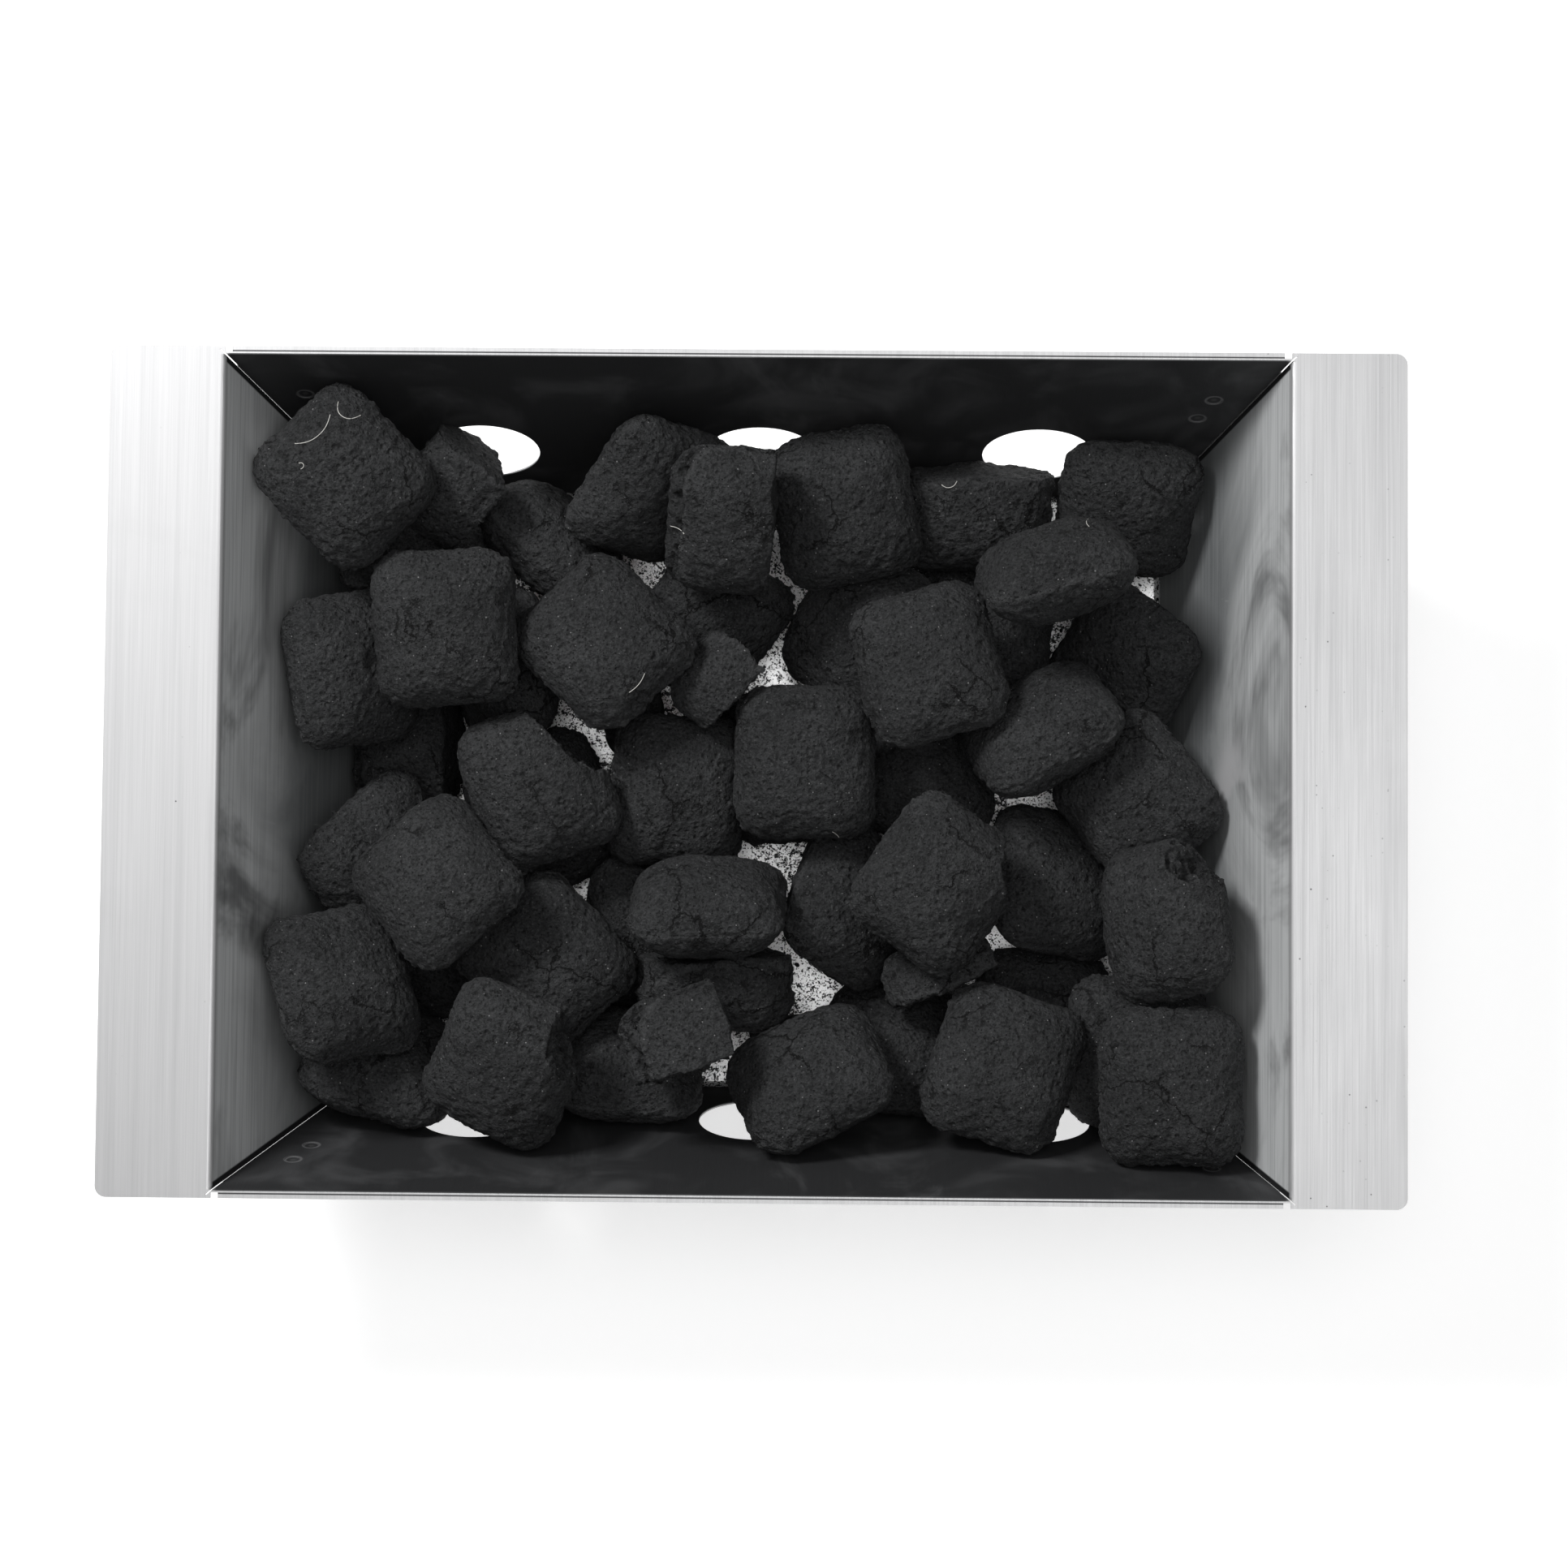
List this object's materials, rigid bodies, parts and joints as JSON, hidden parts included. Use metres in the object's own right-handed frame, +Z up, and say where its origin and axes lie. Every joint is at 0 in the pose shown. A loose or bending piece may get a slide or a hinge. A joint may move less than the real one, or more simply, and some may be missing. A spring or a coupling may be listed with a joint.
{
  "type": "charcoal tray",
  "caption": "Folded sheet-metal tray with end flanges, hemmed long edges and side vents, filled with loose pillow-shaped charcoal briquettes.",
  "frame": {"origin": "centre of the underside of the tray floor", "axes": "+X along the long side of the tray towards one end flange, +Y towards the back long wall, +Z up"},
  "size_m": [0.46, 0.3014, 0.105],
  "materials": {
    "tray_steel": "brushed, stained by soot",
    "charcoal": "matte, granular"
  },
  "bodies": {
    "tray": {"tray": "tray_steel"},
    "bed": {"briquette_01": "charcoal", "briquette_02": "charcoal", "briquette_03": "charcoal", "briquette_04": "charcoal", "briquette_05": "charcoal", "briquette_06": "charcoal", "briquette_07": "charcoal", "briquette_08": "charcoal", "briquette_09": "charcoal", "briquette_10": "charcoal", "briquette_11": "charcoal", "briquette_12": "charcoal", "briquette_13": "charcoal", "briquette_14": "charcoal", "briquette_15": "charcoal", "briquette_16": "charcoal", "briquette_17": "charcoal", "briquette_18": "charcoal", "briquette_19": "charcoal", "briquette_20": "charcoal", "briquette_21": "charcoal", "briquette_22": "charcoal", "briquette_23": "charcoal", "briquette_24": "charcoal", "briquette_25": "charcoal", "briquette_26": "charcoal", "briquette_27": "charcoal", "briquette_28": "charcoal", "briquette_29": "charcoal", "briquette_30": "charcoal", "briquette_31": "charcoal", "briquette_32": "charcoal", "briquette_33": "charcoal", "briquette_34": "charcoal", "briquette_37": "charcoal", "briquette_38": "charcoal", "briquette_39": "charcoal", "briquette_40": "charcoal", "briquette_41": "charcoal", "briquette_42": "charcoal", "briquette_43": "charcoal", "briquette_45": "charcoal", "briquette_48": "charcoal", "briquette_50": "charcoal", "briquette_51": "charcoal", "briquette_53": "charcoal", "briquette_54": "charcoal"},
    "briquette_35_body": {"briquette_35": "charcoal"},
    "briquette_36_body": {"briquette_36": "charcoal"},
    "briquette_47_body": {"briquette_47": "charcoal"},
    "briquette_46_body": {"briquette_46": "charcoal"},
    "briquette_49_body": {"briquette_49": "charcoal"},
    "briquette_52_body": {"briquette_52": "charcoal"},
    "briquette_44_body": {"briquette_44": "charcoal"},
    "briquette_55_body": {"briquette_55": "charcoal"}
  },
  "joints": [
    {"name": "bed_lift", "type": "slide", "parent": "tray", "child": "bed", "axis": [0, 0, 1], "range_m": [0, 0.12]},
    {"name": "briquette_35_lift", "type": "slide", "parent": "bed", "child": "briquette_35_body", "axis": [0, 0, 1], "range_m": [0, 0.12]},
    {"name": "briquette_36_lift", "type": "slide", "parent": "bed", "child": "briquette_36_body", "axis": [0, 0, 1], "range_m": [0, 0.12]},
    {"name": "briquette_47_lift", "type": "slide", "parent": "bed", "child": "briquette_47_body", "axis": [0, 0, 1], "range_m": [0, 0.12]},
    {"name": "briquette_46_lift", "type": "slide", "parent": "bed", "child": "briquette_46_body", "axis": [0, 0, 1], "range_m": [0, 0.12]},
    {"name": "briquette_49_lift", "type": "slide", "parent": "briquette_46_body", "child": "briquette_49_body", "axis": [0, 0, 1], "range_m": [0, 0.12]},
    {"name": "briquette_52_lift", "type": "slide", "parent": "bed", "child": "briquette_52_body", "axis": [0, 0, 1], "range_m": [0, 0.12]},
    {"name": "briquette_44_lift", "type": "slide", "parent": "bed", "child": "briquette_44_body", "axis": [0, 0, 1], "range_m": [0, 0.12]},
    {"name": "briquette_55_lift", "type": "slide", "parent": "briquette_44_body", "child": "briquette_55_body", "axis": [0, 0, 1], "range_m": [0, 0.12]}
  ]
}
